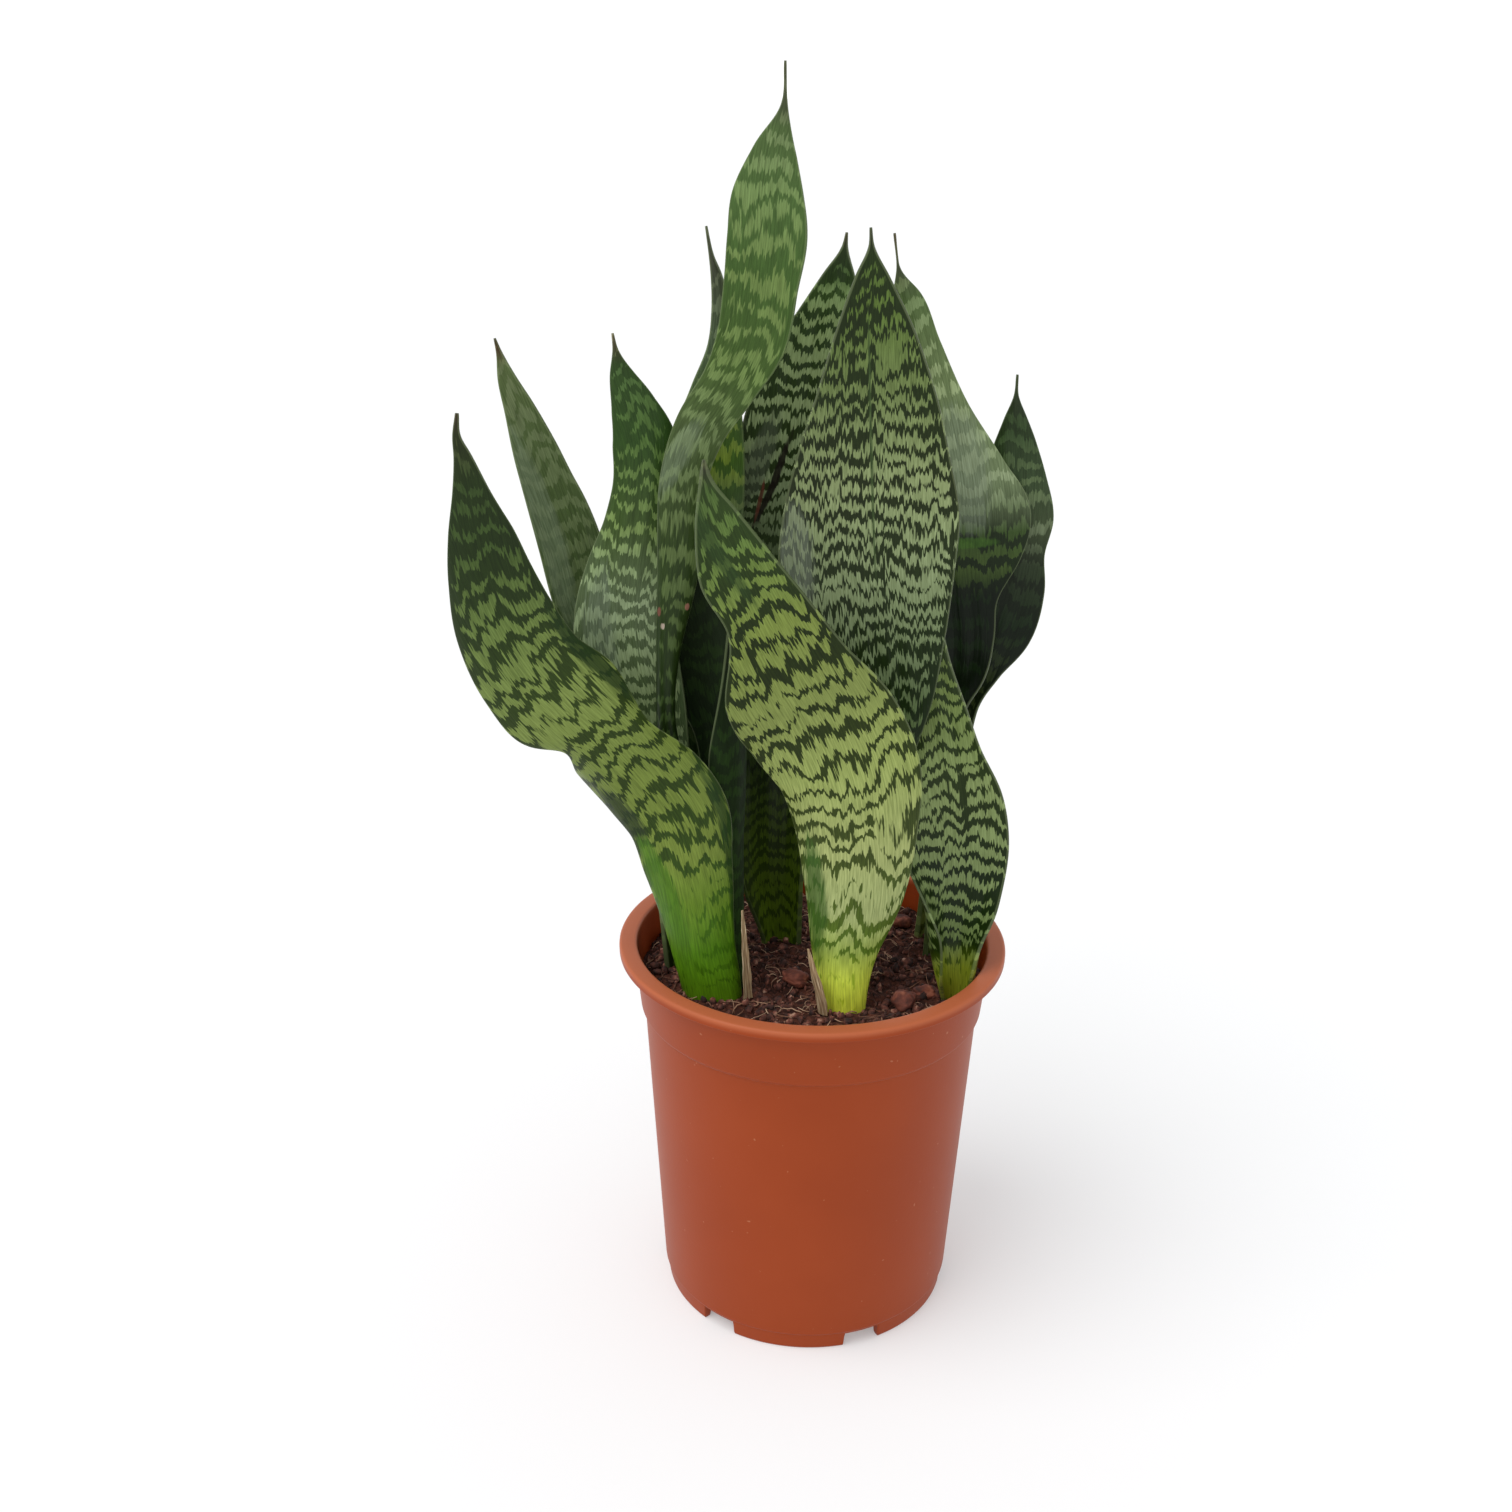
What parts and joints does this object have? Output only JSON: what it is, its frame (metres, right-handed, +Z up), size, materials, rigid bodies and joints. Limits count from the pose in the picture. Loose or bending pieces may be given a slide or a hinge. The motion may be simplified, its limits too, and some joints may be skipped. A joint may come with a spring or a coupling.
{
  "type": "potted snake plant",
  "caption": "Snake plant with upright banded sword leaves growing from short rhizomes in a round nursery pot of soil.",
  "frame": {"origin": "centre of the bounding box's bottom, on the plane the pot stands on; the pot's own axis is 18.8 mm to +X of it", "axes": "+Z up the plant, +X to the viewer's right, -Y towards the viewer"},
  "size_m": [0.2022, 0.14, 0.437],
  "materials": {
    "pot_plastic": "satin moulded plastic",
    "peat_soil": "loose peat compost",
    "leaf_blade": "waxy living leaf, cross banded",
    "rhizome": "fleshy living stem",
    "dry_sheath": "papery and dry",
    "bark": "rough"
  },
  "bodies": {
    "root": {"pot": "pot_plastic", "soil": "peat_soil", "leaf_front": "leaf_blade", "leaf_centre": "leaf_blade", "leaf_right_back": "leaf_blade", "leaf_far_right": "leaf_blade", "leaf_right_front": "leaf_blade", "leaf_tall": "leaf_blade", "leaf_back_left_tall": "leaf_blade", "leaf_back_centre": "leaf_blade", "leaf_left_inner": "leaf_blade", "leaf_left_back": "leaf_blade", "leaf_left_front": "leaf_blade", "leaf_young": "leaf_blade", "rhizome_left": "rhizome", "rhizome_centre": "rhizome", "rhizome_right": "rhizome", "dry_sheath_front": "dry_sheath", "dry_sheath_left": "dry_sheath", "bark_chip_1": "bark", "bark_chip_2": "bark", "bark_chip_3": "bark", "bark_chip_4": "bark", "bark_chip_5": "bark"}
  },
  "joints": []
}
